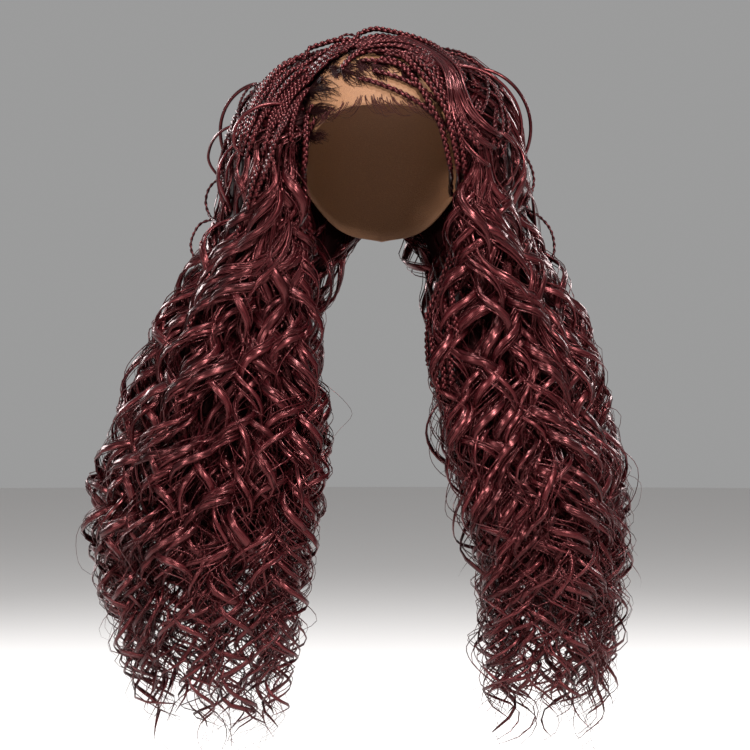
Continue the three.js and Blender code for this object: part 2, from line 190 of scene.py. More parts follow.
# Plaits that show from the front. A row is a plait's course from its root, in millimetres across
# and up from the origin
MILLIMETRE = 0.001
FRONT_BRAIDS = [
    [(-68, -30), (-79, -39), (-89, -51), (-96, -66), (-101, -81)],
    [(-62, -21), (-75, -28), (-86, -40), (-95, -54), (-102, -70), (-108, -86)],
    [(-55, -13), (-70, -19), (-83, -25), (-95, -38), (-106, -53), (-114, -71)],
    [(-73, -70), (-74, -84), (-74, -104), (-76, -127), (-79, -146), (-82, -170), (-83, -191)],
    [(-73, -43), (-81, -55), (-85, -68), (-88, -84), (-87, -98)],
    [(-77, -47), (-88, -62), (-94, -78), (-102, -95), (-108, -113), (-115, -128)],
    [(-85, -32), (-95, -44), (-104, -62), (-109, -76), (-111, -93), (-116, -109)],
    [(-92, -35), (-102, -49), (-112, -62), (-119, -76), (-126, -93), (-133, -113)],
    [(-101, -27), (-114, -44), (-121, -57), (-125, -72), (-131, -89), (-136, -105)],
    [(-94, -19), (-108, -30), (-117, -45), (-123, -59), (-129, -76), (-136, -93), (-143, -115)],
    [(-80, -17), (-92, -23), (-103, -36), (-111, -52), (-117, -68), (-122, -84), (-128, -103)],
    [(-86, -10), (-100, -17), (-112, -31), (-122, -49), (-128, -64), (-132, -80), (-141, -101)],
    [(-71, -2), (-84, -6), (-98, -13), (-110, -24), (-120, -38), (-127, -54), (-134, -72),
     (-142, -88), (-151, -108)],
    [(-88, -62), (-96, -74), (-100, -87), (-104, -103), (-110, -121), (-118, -138), (-125, -156)],
    [(-118, -118), (-123, -132), (-128, -148), (-131, -164)],
    [(-136, -170), (-141, -187), (-146, -203), (-150, -219)],
    [(-172, -238), (-178, -256), (-186, -274), (-194, -291), (-200, -305)],
    [(-40, -26), (-34, -17), (-22, -8), (-2, -4), (13, -7), (27, -19), (42, -36), (53, -52),
     (62, -69), (68, -93), (73, -119), (74, -138), (75, -159), (74, -181), (74, -203), (72, -240)],
    [(-9, -20), (4, -15), (18, -22), (28, -33), (38, -47), (47, -63), (55, -79), (61, -99),
     (66, -121), (69, -142)],
    [(-37, -22), (-29, -12), (-17, -4), (-1, 1), (16, -2), (31, -15), (46, -31), (57, -48), (67, -66),
     (74, -85), (78, -108), (81, -134)],
    [(-65, -24), (-56, -13), (-43, -3), (-28, 3), (-12, 5), (6, 3), (22, -5), (37, -20), (51, -36),
     (63, -55), (73, -75), (79, -93)],
    [(-82, -19), (-68, -8), (-53, 2), (-38, 8), (-22, 10), (-4, 9), (14, 4), (30, -7), (45, -21),
     (59, -38), (71, -58)],
    [(-78, -9), (-73, 3), (-61, 8), (-46, 12), (-31, 12), (-16, 10), (0, 7), (18, 0)],
    [(-29, 3), (-24, 18), (-9, 24), (5, 22), (20, 18), (34, 14), (49, 7), (62, -4), (73, -19), (82, -36)],
    [(-35, 1), (-22, 12), (-4, 17), (12, 14), (27, 8), (43, -3), (58, -17), (71, -33), (82, -54)],
    [(-51, -9), (-43, 0), (-31, 7), (-17, 11), (0, 12), (18, 8), (35, 1), (51, -12), (66, -27),
     (78, -47), (88, -69)],
    [(67, -58), (74, -72), (80, -83), (87, -95), (95, -105)],
    [(45, -213), (49, -238), (53, -268), (57, -299), (60, -336)],
    [(53, -209), (58, -236), (63, -268), (65, -299), (67, -332)],
    [(60, -203), (66, -232), (69, -260), (73, -291)],
    [(47, -240), (47, -275), (50, -309), (55, -346)],
    [(67, -191), (69, -219), (67, -246), (70, -279)],
]

# Broad locks that were never plaited, in the same way
SMOOTH_FRONT = [
    [(-4, 6), (13, 14), (25, 13), (42, -1), (55, -13), (62, -27), (65, -47), (67, -71), (74, -91),
     (88, -109), (104, -121)],
    [(2, 8), (17, 12), (31, 8), (47, -5), (60, -18), (68, -36), (73, -58), (79, -77), (94, -95),
     (110, -103)],
    [(10, 12), (27, 10), (45, 0), (61, -13), (72, -28), (78, -48), (86, -66), (100, -81), (116, -91)],
]

# Thin plaits that stand out of the outline in a loop, in the same way
FRONT_LOOPS = [
    [(-114, -34), (-131, -35), (-140, -49), (-142, -66), (-139, -84), (-132, -103)],
    [(-127, -61), (-136, -67), (-140, -78), (-136, -93)],
    [(-129, -80), (-149, -84), (-157, -97), (-160, -115), (-156, -128)],
    [(-153, -122), (-170, -133), (-176, -149), (-172, -164), (-163, -173)],
    [(-167, -167), (-182, -173), (-190, -191), (-186, -207), (-174, -217)],
    [(-51, 3), (-41, 16), (-29, 18), (-20, 12)],
    [(57, -2), (78, -5), (96, -15), (103, -32), (103, -52), (96, -70)],
    [(67, -15), (90, -21), (108, -36), (116, -58), (118, -81), (112, -103)],
    [(86, -38), (108, -46), (122, -66), (123, -89), (116, -111)],
    [(116, -93), (135, -99), (147, -113), (151, -132), (143, -152), (131, -164)],
    [(86, -15), (102, -26), (114, -44), (122, -66)],
    [(135, -157), (155, -164), (168, -179), (171, -201), (161, -219), (149, -226)],
]
COURSE_POINTS = 60
FRONT_POINTS_PER_TURN = 11
FRONT_SIDES = 5
LOOP_WIDTH = 0.6 * BRAID_WIDTH
SMOOTH_HAIRS = 9

# Fans of hair drawn back to a root. Columns: the root across and up in millimetres, the direction of
# the hair in degrees, its reach in millimetres, how widely it spreads
FANS = [
    (-72, -44, -8, 30, 1.0),
    (-72, -65, -12, 28, 1.0),
    (-72, -92, 0, 18, 0.9),
    (-40, -26, -22, 32, 1.0),
    (-9, -21, -40, 22, 1.0),
    (19, -26, -50, 20, 0.8),
    (-83, -33, -30, 12, 1.6),
    (-63, -19, 60, 12, 1.6),
    (-80, -17, 60, 12, 1.6),
    (-49, -10, 60, 10, 1.8),
    (-91, -38, -60, 11, 1.6),
    (-29, -5, 60, 10, 1.8),
    (-59, -34, 160, 12, 1.0),
    (-50, -21, -60, 12, 1.0),
    (-22, -17, -60, 10, 1.4),
    (-77, -52, -100, 10, 1.4),
]
FAN_HAIRS = 90
FAN_HAIR_WIDTH = 0.00084
WISP_ROOTS = 15
WISPS_PER_ROOT = 7
WISP_WIDTH = 0.0008

# How steeply the hair over the cap thins to the parting
ROOF_RISE = 1.5

# The heart of the hair, as shares of its outer form, and the plain locks that lie on it, both in painted
# shade
CORE_SIZE = 0.76
CORE_SIZE_ON_CAP = 0.82
CORE_INSIDE = UNDER_CURLS - LACE_THICKNESS
CORE_END = 0.48
UNDER_LOCKS = 75

# Plaits over the hair: how far out they lie, their roots and lifts in turn, the share of the parting
# that is left to the front's own plaits, and the share that each face of the locks is rooted along
OVER_ACROSS = 0.94
OVER_ROOTS = [0.97, 0.8, 0.9, 0.7]
OVER_LIFTS = [0.004, 0.0, 0.002, 0.0]
FRONT_SLOTS = {"left": 0.3, "right": 0.24}
ROOTED_ALONG = {"front": (0.0, 0.4), "outer": (0.4, 0.75), "back": (0.75, 1.0)}

# Plaits: one turn of the three strands, their sections, and how finely they are drawn
PLAIT_TURN = 0.0195
PLAIT_SWING = 0.25
PLAIT_DEPTH = 0.17
PLAIT_STRAND_WIDTH = 0.27
PLAIT_STRAND_DEPTH = 0.24
PLAIT_POINTS_PER_TURN = 7
# How narrowly the tops of the lobes stay light: the rest of each strand gets painted shade
PLAIT_CREASE_SHADE_POWER = 3

# The box that far strays are eased back to, and how softly
OUTER_BOX = [(-0.285, -0.155, -0.72), (0.243, 0.15, 0.04)]
OUTER_EASE = 0.012

# The margins of each tube's strip of the bake map
BAKE_ENDS = 0.01
BAKE_EDGES = 0.06

DEGREE = math.pi / 180
FULL_TURN = 2 * math.pi
HEAD_MIDDLE = np.array([0.0, 0.0, -DOME_HEIGHT])


def smoothstep(x, low, high):
    t = np.clip((x - low) / (high - low), 0, 1)
    return t * t * (3 - 2 * t)


def lerp(a, b, t):
    return a + (b - a) * t


def unit(v):
    return v / np.maximum(np.linalg.norm(v, axis=-1, keepdims=True), 1e-12)


def from_table(rows, column, at):
    """The value of a table's column where its first column is at, on a smooth curve."""
    xs = np.array([row[0] for row in rows], float)
    ys = np.array([row[column] for row in rows], float)
    slopes = np.empty_like(xs)
    slopes[1:-1] = (ys[2:] - ys[:-2]) / (xs[2:] - xs[:-2])
    slopes[0] = (ys[1] - ys[0]) / (xs[1] - xs[0])
    slopes[-1] = (ys[-1] - ys[-2]) / (xs[-1] - xs[-2])
    x = np.clip(at, xs[0], xs[-1])
    i = np.clip(np.searchsorted(xs, x) - 1, 0, len(xs) - 2)
    run = xs[i + 1] - xs[i]
    t = (x - xs[i]) / run
    straight = lerp(ys[i], ys[i + 1], t * t * (3 - 2 * t))
    return straight + run * t * (1 - t) * (slopes[i] * (1 - t) - slopes[i + 1] * t)


def direction(azimuth, elevation):
    a, e = np.asarray(azimuth) * DEGREE, np.asarray(elevation) * DEGREE
    a, e = np.broadcast_arrays(a, e)
    return np.stack([np.sin(a) * np.cos(e), -np.cos(a) * np.cos(e), np.sin(e)], -1)


def on_head(toward, standoff):
    """The point of the head form in a direction from its middle, a standoff outside it."""
    size = (np.abs(toward) ** HEAD_SQUARENESS).sum(-1) ** (-1 / HEAD_SQUARENESS)
    height = np.where(toward[..., 2] >= 0, DOME_HEIGHT, LOWER_HEIGHT)
    half_width, half_length = (half + standoff + 0 * size for half in (HEAD_WIDTH / 2, HEAD_LENGTH / 2))
    axes = np.stack([half_width, half_length, height + standoff], -1)
    return axes * size[..., None] * toward + HEAD_MIDDLE


def parting_at(depth):
    """The direction of the parting at a share of the depth, on a Catmull-Rom curve."""
    points = np.array([direction(*row) for row in PARTING])
    ends = [2 * points[0] - points[1], *points, 2 * points[-1] - points[-2]]
    points = np.array(ends)
    spot = np.clip(depth, 0, 1) * (len(PARTING) - 1)
    i = np.minimum(spot.astype(int), len(PARTING) - 2)
    t = (spot - i)[..., None]
    a, b, c, d = (points[i + k] for k in range(4))
    return unit(b + 0.5 * t * (c - a + t * (2 * a - 5 * b + 4 * c - d + t * (3 * (b - c) + d - a))))


def cap_direction(side, depth, height):
    low = direction(SIDES[side] * lerp(TEMPLE_AZIMUTH, NAPE_AZIMUTH, depth), 0)
    high = parting_at(depth)
    angle = np.arccos(np.clip((low * high).sum(-1), -1, 1))
    low_part = np.sin((1 - height) * angle) / np.sin(angle)
    high_part = np.sin(height * angle) / np.sin(angle)
    return low * low_part[..., None] + high * high_part[..., None]


def place(side, level, across, depth, inside=0.0):
    """Places in a side's hair, or as far inside it as asked."""
    level, across, depth = np.broadcast_arrays(
        np.asarray(level, float), np.asarray(across, float), np.asarray(depth, float)
    )
    thickness = HAIR_THICKNESS * from_table(VOLUME[side], 1, depth)
    top = from_table(VOLUME[side], 2, depth)
    height = np.maximum(-level / CAP_ARC, 0)
    roof = np.maximum(1 - (height / top) ** 2, 0) ** ROOF_RISE
    standoff = UNDER_CURLS - inside + across * (thickness - UNDER_CURLS) * roof
    on_cap = on_head(cap_direction(side, depth, height), standoff)
    below = np.maximum(level, 0)
    share = (DOME_HEIGHT + below) / HAIR_LENGTH
    inner, outer = (SIDE_REACH[side] * from_table(FALLS[side], column, share) for column in (1, 2))
    front = -FRONT_REACH * from_table(FALLS[side], 3, share)
    back = BACK_REACH * from_table(FALLS[side], 4, share)
    u, w = 2 * across - 1, 2 * depth - 1
    room = NECK_ROOM * (1 - smoothstep(below, NECK_END, NECK_END + NECK_FADE))
    inner_x = inner + room * (1 - w * w) - inside
    outer_x = (inner + outer) / 2 + (outer - inner) / 2 * np.sqrt(np.maximum(1 - w * w / 2, 0))
    y = (front + back) / 2 + (back - front) / 2 * w * np.sqrt(np.maximum(1 - u * u / 2, 0))
    swept = smoothstep(below, SWEEP_START, SWEEP_START + SWEEP)
    x = lerp(on_cap[..., 0], SIDES[side] * lerp(inner_x, outer_x, across), swept)
    y = lerp(on_cap[..., 1], y, swept)
    z = np.where(level > 0, -DOME_HEIGHT - below, on_cap[..., 2])
    return np.stack([x, y, z], -1)


def frames_along(paths, middles):
    """The ways out from the middles and sideways, square to the paths."""
    tangents = unit(np.gradient(paths, axis=1))
    out = paths - middles
    out = unit(out - (out * tangents).sum(-1, keepdims=True) * tangents)
    return out, np.cross(tangents, out)


def middle_at(side, level):
    """The middle of a side's hair at a level: of the head over the cap, then of the fall."""
    share = smoothstep(level, -0.02, SWEEP)[..., None]
    return lerp(HEAD_MIDDLE, place(side, np.maximum(level, 0), 0.5, 0.5), share)


class Tubes:
    """Closed tubes, drawn in batches into one mesh, with a strip of the bake map for each."""

    def __init__(self):
        self.verts, self.loops, self.sizes = [], [], []
        self.strand_uv, self.bake_uv, self.tones = [], [], []
        self.count = self.corners = 0

    def add_rings(self, rings, tone, shade):
        """rings (tubes, points, sides, 3), the tone of each tube and the shade at each point."""
        tubes, points, sides = rings.shape[:3]
        index = self.corners + np.arange(tubes * points * sides).reshape(tubes, points, sides)
        number = self.count + np.arange(tubes)[:, None, None]
        self.corners += index.size
        self.count += tubes
        here, after = index[:, :-1], index[:, 1:]
        quads = np.stack([here, np.roll(here, -1, 2), np.roll(after, -1, 2), after], -1)
        middles = rings.mean(2)
        along = np.zeros((tubes, points))
        along[:, 1:] = np.linalg.norm(np.diff(middles, axis=1), axis=-1).cumsum(1)
        girth = np.linalg.norm(np.roll(rings, -1, 2) - rings, axis=-1).sum(2).max(1)[:, None, None]
        around = np.arange(sides + 1)[None, None] / sides
        share = (along / along[:, -1:])[..., None] + 0 * around
        strand = np.stack([along[..., None] + 0 * around, around * girth + 0.37 * number + 0 * share], -1)
        bake_along = lerp(BAKE_ENDS, 1 - BAKE_ENDS, share)
        bake_around = number + lerp(BAKE_EDGES, 1 - BAKE_EDGES, around) + 0 * share
        bake = np.stack([bake_along, bake_around], -1)
        self.verts.append(rings.reshape(-1, 3))
        self.loops.append(quads.ravel())
        self.sizes.append(np.full(quads.size // 4, 4))
        for target, grid in ((self.strand_uv, strand), (self.bake_uv, bake)):
            corners = [grid[:, :-1, :-1], grid[:, :-1, 1:], grid[:, 1:, 1:], grid[:, 1:, :-1]]
            target.append(np.stack(corners, 3).reshape(-1, 2))
        angle = FULL_TURN * np.arange(sides)[None] / sides
        for ring, at, turn in ((index[:, 0, ::-1], 0.004, 1), (index[:, -1], 0.996, -1)):
            rows = number[:, 0] + 0.5 + 0.4 * turn * np.sin(angle)
            cap = np.stack([at + 0.0035 * np.cos(angle) + 0 * rows, rows], -1)
            self.loops.append(ring.ravel())
            self.sizes.append(np.full(tubes, sides))
            self.bake_uv.append(cap.reshape(-1, 2))
            self.strand_uv.append(cap.reshape(-1, 2) * 0.001)
        colour = np.ones((tubes, points, sides, 4))
        colour[..., 0] = np.reshape(tone, (-1, 1, 1))
        colour[..., 1] = np.broadcast_to(shade, (tubes, points))[..., None]
        self.tones.append(colour.reshape(-1, 4))

    def add(self, paths, wide, half_width, half_thickness, sides, tone, shade):
        """Tubes along paths (tubes, points, 3). wide is the direction that half_width is in."""
        tangents = unit(np.gradient(paths, axis=1))
        wide = unit(wide - (wide * tangents).sum(-1, keepdims=True) * tangents)
        thick = np.cross(tangents, wide)
        angle = FULL_TURN * np.arange(sides) / sides
        half_width = np.broadcast_to(half_width, paths.shape[:2])[..., None]
        half_thickness = np.broadcast_to(half_thickness, paths.shape[:2])[..., None]
        rings = paths[:, :, None] + wide[:, :, None] * (half_width * np.cos(angle))[..., None]
        rings = rings + thick[:, :, None] * (half_thickness * np.sin(angle))[..., None]
        self.add_rings(rings, tone, shade)

    def mesh(self, name, material):
        """The tubes as one object."""
        bake = np.concatenate(self.bake_uv) / (1, self.count)
        made = mesh_object(name, *(np.concatenate(some) for some in (self.verts, self.loops, self.sizes)))
        made.data.materials.append(material)
        for layer, values in (("OFBake", bake), ("strand", np.concatenate(self.strand_uv))):
            made.data.uv_layers.new(name=layer).data.foreach_set("uv", values.astype(np.float32).ravel())
        tone = made.data.color_attributes.new(name="tone", type="FLOAT_COLOR", domain="POINT")
        tone.data.foreach_set("color", np.concatenate(self.tones).astype(np.float32).ravel())
        return made


def mesh_object(name, verts, loops, sizes):
    """An object from arrays: corners, the corners of the faces in a row, and each face's count."""
    mesh = bpy.data.meshes.new(name)
    mesh.vertices.add(len(verts))
    mesh.vertices.foreach_set("co", np.asarray(verts, np.float32).ravel())
    mesh.loops.add(len(loops))
    mesh.loops.foreach_set("vertex_index", np.asarray(loops, np.int32))
    mesh.polygons.add(len(sizes))
    mesh.polygons.foreach_set("loop_start", np.cumsum(sizes).astype(np.int32) - np.asarray(sizes, np.int32))
    mesh.polygons.foreach_set("use_smooth", np.ones(len(sizes), bool))
    mesh.update(calc_edges=True)
    made = bpy.data.objects.new(name, mesh)
    bpy.context.scene.collection.objects.link(made)
    return made


def outline_spot(share_on_face, face):
    """A place on the square outline of a fall, as shares across it and of its depth."""
    s = share_on_face
    return {"front": (s, 0.0), "outer": (1.0, s), "back": (1 - s, 1.0), "inner": (0.0, 1 - s)}[face]


def top_at(side, depth):
    return from_table(VOLUME[side], 2, depth)


def lock_list(side):
    """The locks of a side: places, the levels where they open and end, and how they start."""
    rng = np.random.default_rng({"left": 11, "right": 12}[side])
    locks = []
    for layer in LAYERS:
        for face, count in zip(FACES, layer["locks"]):
            for i in range(count):
                spot = outline_spot((i + rng.uniform(0.2, 0.8)) / count, face)
                size = layer["size"] * rng.uniform(0.95, 1.03)
                across, depth = (0.5 + (c - 0.5) * size for c in spot)
                across = np.maximum(across, INNERMOST)
                outer = layer is LAYERS[0]
                early = EARLY_LOCKS[side] * (face != "back") + rng.uniform(0, OPENING_SPREAD)
                highest = -CAP_ARC * top_at(side, depth) * HIGHEST_OPENING
                highest = FRONT_OPENING if face == "front" else highest
                shortfall = rng.uniform(0, OUTER_SHORTFALL if outer else INNER_SHORTFALL)
                locks.append(
                    {
                        "across": across,
                        "depth": depth,
                        "open": max(early, highest, layer["start"]),
                        "end": HAIR_LENGTH - DOME_HEIGHT - shortfall,
                        "strands": layer["strands"],
                        "points": layer["points"],
                        "shade": layer["shade"],
                        "size": rng.uniform(*LOCK_SIZES),
                        "outer": outer,
                        "face": face,
                    }
                )
    ends = BRAID_ENDS[side]
    for i in range(BRAIDS_PER_SIDE):
        lock = dict(locks[0], across=0.11, depth=(i + 0.5) / BRAIDS_PER_SIDE, face="inner", size=0.8)
        lock["from_across"], lock["from_depth"] = 0.03, lock["depth"]
        lock["open"] = BRAID_LENGTH * ends[min(i, len(ends) - 1)]
        lock["end"] = HAIR_LENGTH - DOME_HEIGHT - rng.uniform(0.02, 0.12)
        locks.append(lock)
    return locks


def wave_paths(side, lock, start, end, points, rng, drift, spread):
    """Rows of waved hair of one lock. By its tip a row has turned by drift and moved by spread."""
    rows = len(start)
    share = np.linspace(0, 1, points)[None]
    share = share * (WAVE_CROWDING - (WAVE_CROWDING - 1) * share)
    level = lerp(start[:, None], end[:, None], share)
    across_phase, depth_phase, turn_phase, swing_phase = rng.uniform(0, FULL_TURN, 4)
    phase = FULL_TURN * (PHASE_ACROSS * lock["across"] + PHASE_DEPTH * lock["depth"])
    phase = phase + PHASE_NOISE * rng.standard_normal()
    sway = rng.normal(0, SWAY, 2)
    settle = smoothstep(level, lock["open"], lock["open"] + 0.12)
    across = lerp(lock.get("from_across", lock["across"]), lock["across"], settle)
    depth = lerp(lock.get("from_depth", lock["depth"]), lock["depth"], settle)
    across = across + sway[0] * settle * np.sin(level / 0.06 + across_phase)
    depth = depth + sway[1] * settle * np.sin(level / 0.07 + depth_phase)
    guide = place(side, level, across, depth)
    out, sideways = frames_along(guide, middle_at(side, level))
    fall = smoothstep(level, 0.0, HAIR_LENGTH - DOME_HEIGHT)
    period = lerp(WAVE_TOP, WAVE_BOTTOM, fall) * rng.uniform(*PERIODS)
    steps = np.diff(level, axis=1, prepend=level[:, :1])
    turn = (FULL_TURN / period * steps).cumsum(1) + phase + 0.7 * np.sin(level / 0.12 + turn_phase)
    turn = turn + 0.2 * rng.standard_normal((rows, 1)) + drift[:, None] * share**2
    turn = (turn + 0.1 * np.sin(2 * turn)) * rng.choice([-1, 1], p=[TURNS_LEFT, 1 - TURNS_LEFT])
    middle = smoothstep(level, 0.0, 0.28)
    swing = lerp(lerp(SWING_TOP, SWING_MIDDLE, middle), SWING_BOTTOM, smoothstep(level, 0.36, 0.6))
    swing = swing * rng.uniform(*SWINGS) * (1 + 0.25 * np.sin(level / 0.07 + swing_phase))
    swing = swing * smoothstep(level, lock["open"], lock["open"] + SWING_RAMP)
    paths = guide + sideways * (swing * np.sin(turn))[..., None]
    paths = paths + out * (SWING_OUTWARD * swing * np.cos(turn))[..., None]
    radial = unit(unit(paths - guide + 1e-9) + 0.8 * out)
    moved = spread[:, :1, None] * sideways + spread[:, 1:, None] * out
    return keep_in(paths + moved * (share**2)[..., None]), radial, share


def keep_in(points):
    """The points, with any that stray far outside the hair's outer form eased back to it."""
    low, high = np.array(OUTER_BOX)
    over = np.maximum(points - high, 0)
    under = np.maximum(low - points, 0)
    eased = np.clip(points, low, high)
    return eased + OUTER_EASE * (np.tanh(over / OUTER_EASE) - np.tanh(under / OUTER_EASE))


def add_lock(batch, side, lock, rng):
    """One lock: a flat ribbon of hair, and fine strands that part from it towards its tip."""
    count = lock["strands"]
    is_strand = (np.arange(count + 1) > 0)[:, None]
    width = LOCK_WIDTH * lock["size"]
    start = np.full(count + 1, lock["open"] - 0.008)
    end = lock["end"] - np.append(rng.uniform(0.02, 0.07), rng.uniform(0.02, 0.2, count))
    drift = np.append(0, 1.7 * rng.standard_normal(count))
    spread = 0.007 * rng.standard_normal((count + 1, 2)) * is_strand
    paths, radial, share = wave_paths(side, lock, start, end, lock["points"], rng, drift, spread)
    across = np.cross(unit(np.gradient(paths, axis=1)), radial)
    profile = lerp(0.5, 1.0, smoothstep(share, 0.0, 0.12)) * lerp(1.0, 0.45, smoothstep(share, 0.5, 0.92))
    slot = np.append(0, np.linspace(-0.6, 0.6, count) + 0.05 * rng.standard_normal(count))[:, None]
    aside = slot * width * profile * (1 + 0.3 * np.sin(11 * share + 9 * slot))
    proud = is_strand * width / 2 * profile * LOCK_FLATNESS * (1 - np.abs(slot))
    paths = paths + across * aside[..., None] + radial * proud[..., None]
    tip = 1 - 0.9 * smoothstep(share, 0.93, 1.0)
    half = width / 2 * profile * tip
    tones = np.clip(rng.uniform(0.15, 0.85) + 0.2 * rng.standard_normal(count + 1), 0, 1)
    ribbon = slice(0, 1)
    batch.add(paths[ribbon], across[ribbon], half, half * LOCK_FLATNESS, 6, tones[ribbon], lock["shade"])
    fine = slice(1, None)
    half = STRAND_WIDTH / 2 * rng.uniform(0.6, 1.25, (count, 1)) * lerp(1.0, 0.75, share) * tip
    batch.add(paths[fine], across[fine], half, half * 0.7, 3, tones[fine], lock["shade"])


def add_strays(batch, side, group, rng):
    """Fine single hairs that leave the locks of a group and stand round its outline."""
    face = {"front": "front", "side": "outer", "back": "back"}[group]
    for _ in range(STRAYS_PER_GROUP):
        across, depth = (0.5 + (c - 0.5) * 0.97 for c in outline_spot(rng.random(), face))
        start = rng.uniform(0.0, 0.4, 1)
        lock = {"across": across, "depth": depth, "open": start[0]}
        end = np.minimum(start + rng.uniform(0.12, 0.35, 1), HAIR_LENGTH - DOME_HEIGHT)
        spread = 0.008 * rng.standard_normal((1, 2))
        paths, radial, share = wave_paths(side, lock, start, end, 40, rng, np.zeros(1), spread)
        half = STRAY_WIDTH / 2 * (1 - 0.6 * share**2)
        batch.add(paths, radial, half, half, 3, rng.random(1), 0.0)


def add_loops(batch, side, rng):
    """Thin locks that spring out of the hair over the ear in open loops and go back in."""
    share = np.linspace(0, 1, 30)
    for _ in range(LOOPS_PER_SIDE):
        level = rng.uniform(-0.07, 0.0) + share * rng.uniform(0.045, 0.08)
        depth = np.clip(rng.uniform(0.12, 0.6) + rng.uniform(-0.08, 0.08) * share, 0, 1)
        path = place(side, level, 0.9, depth)[None]
        out, sideways = frames_along(path, middle_at(side, level)[None])
        path = path + out * (rng.uniform(0.01, 0.02) * np.sin(math.pi * share) ** 0.8)[:, None]
        half = rng.uniform(0.0014, 0.0021)
        batch.add(path, sideways, half, half, 5, rng.random(1), 0.0)


def add_plait(batch, paths, middles, width, rng, sides=4):
    """A three-strand plait along each path, flat against what lies under it. Its creases have painted
    shade.
    """
    out, sideways = frames_along(paths, middles)
    length = np.zeros(paths.shape[:2])
    length[:, 1:] = np.linalg.norm(np.diff(paths, axis=1), axis=-1).cumsum(1)
    start = rng.uniform(0, 1)
    for k in range(3):
        turn = FULL_TURN * (length / PLAIT_TURN + k / 3 + start)
        strand = paths + sideways * (PLAIT_SWING * width * np.sin(turn))[..., None]
        strand = strand + out * (PLAIT_DEPTH * width * np.sin(2 * turn))[..., None]
        lobe = (1 + np.sin(2 * turn)) / 2
        ends = lerp(0.4, 1, smoothstep(length, 0, 0.004))
        half_width = PLAIT_STRAND_WIDTH * width * ends * lerp(0.62, 1.08, lobe)
        half_depth = PLAIT_STRAND_DEPTH * width * ends * lerp(0.62, 1.15, lobe)
        tone = np.clip(0.55 + 0.12 * rng.standard_normal(len(paths)), 0, 1)
        across = np.cross(out, unit(np.gradient(strand, axis=1)))
        # Painted shade: the creases are darkened and dulled, and only the tops of the lobes are left light
        # and glossy
        batch.add(strand, across, half_width, half_depth, sides, tone, 1 - lobe**PLAIT_CREASE_SHADE_POWER)


def plait_points(rough, per_turn=PLAIT_POINTS_PER_TURN):
    """The points that a plait along a path of these points needs."""
    length = np.linalg.norm(np.diff(rough, axis=0), axis=1).sum()
    return max(int(length / PLAIT_TURN * per_turn), 12)


def cap_braids(side):
    """The plaits that lie on the cap, where the model has its braids."""
    batch = Tubes()
    rng = np.random.default_rng({"left": 21, "right": 22}[side])
    ends = BRAID_ENDS[side]
    inside = UNDER_CURLS - LACE_THICKNESS - BRAID_GAP - BRAID_WIDTH * 0.4
    for i in range(BRAIDS_PER_SIDE):
        depth = (i + 0.5) / BRAIDS_PER_SIDE
        root = -CAP_ARC * BRAID_ROOTS[side][i]
        end = BRAID_LENGTH * ends[min(i, len(ends) - 1)]
        points = plait_points(place(side, np.linspace(root, end, 60), 0.0, depth, inside))
        level = np.linspace(root, end, points)
        path = place(side, level, 0.0, depth, inside)
        add_plait(batch, path[None], middle_at(side, level)[None], BRAID_WIDTH, rng)
    made = batch.mesh(f"cap_braids_{side}", BRAID_HAIR)
    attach(made, "root")
    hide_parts(*[f"braid_{side}_{i + 1:02d}" for i in range(BRAIDS_PER_SIDE)])


def root_order(lock):
    """Where along the parting a lock's plait is rooted, as a share from the front to the back."""
    along = {"front": lock["across"], "outer": lock["depth"], "back": 1 - lock["across"]}[lock["face"]]
    return lerp(*ROOTED_ALONG[lock["face"]], along)


def over_braid_course(side, lock, slot, number, points):
    """A plait's course from its root to where its lock opens, and the middles behind it."""
    row = number % len(OVER_ROOTS)
    share = np.linspace(0, 1, points)
    level = lerp(-CAP_ARC * OVER_ROOTS[row], lock["open"], share)
    moved = smoothstep(level, min(-0.06, lock["open"] - 0.03), lock["open"])
    across = lerp(OVER_ACROSS, lock["across"], moved)
    inside = UNDER_CURLS - LACE_THICKNESS - BRAID_WIDTH * 0.75
    path = place(side, level, across, lerp(slot, lock["depth"], moved), inside * (1 - moved))
    lift = OVER_LIFTS[row] * np.sin(math.pi * np.clip(share * 2.2, 0, 1))
    return path + lift[:, None] * unit(path - HEAD_MIDDLE), middle_at(side, level)


def over_braids(side, locks):
    """The plaits of the outer locks, from roots along the parting over the hair below them to
    where they open."""
    batch = Tubes()
    rng = np.random.default_rng({"left": 31, "right": 32}[side])
    outer = [lock for lock in locks if lock["outer"] and lock["face"] in ROOTED_ALONG]
    outer.sort(key=root_order)
    for number, lock in enumerate(outer):
        slot = lerp(0.02, 0.98, (number + 0.5) / len(outer))
        if slot < FRONT_SLOTS[side]:
            continue
        rough, _ = over_braid_course(side, lock, slot, number, COURSE_POINTS)
        path, middles = over_braid_course(side, lock, slot, number, plait_points(rough))
        add_plait(batch, path[None], middles[None], BRAID_WIDTH, rng)
    made = batch.mesh(f"over_braids_{side}", BRAID_HAIR)
    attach(made, "root")


def smooth_through(points, count):
    """Places along a Catmull-Rom curve through points, at even steps of its length."""
    points = np.array(points)
    points = np.array([2 * points[0] - points[1], *points, 2 * points[-1] - points[-2]])
    spot = np.linspace(0, len(points) - 3, 200)
    i = np.minimum(spot.astype(int), len(points) - 4)
    t = (spot - i)[:, None]
    a, b, c, d = (points[i + k] for k in range(4))
    path = b + 0.5 * t * (c - a + t * (2 * a - 5 * b + 4 * c - d + t * (3 * (b - c) + d - a)))
    length = np.append(0, np.linalg.norm(np.diff(path, axis=0), axis=1).cumsum())
    at = np.linspace(0, length[-1], count)
    return np.stack([np.interp(at, length, values) for values in path.T], -1)


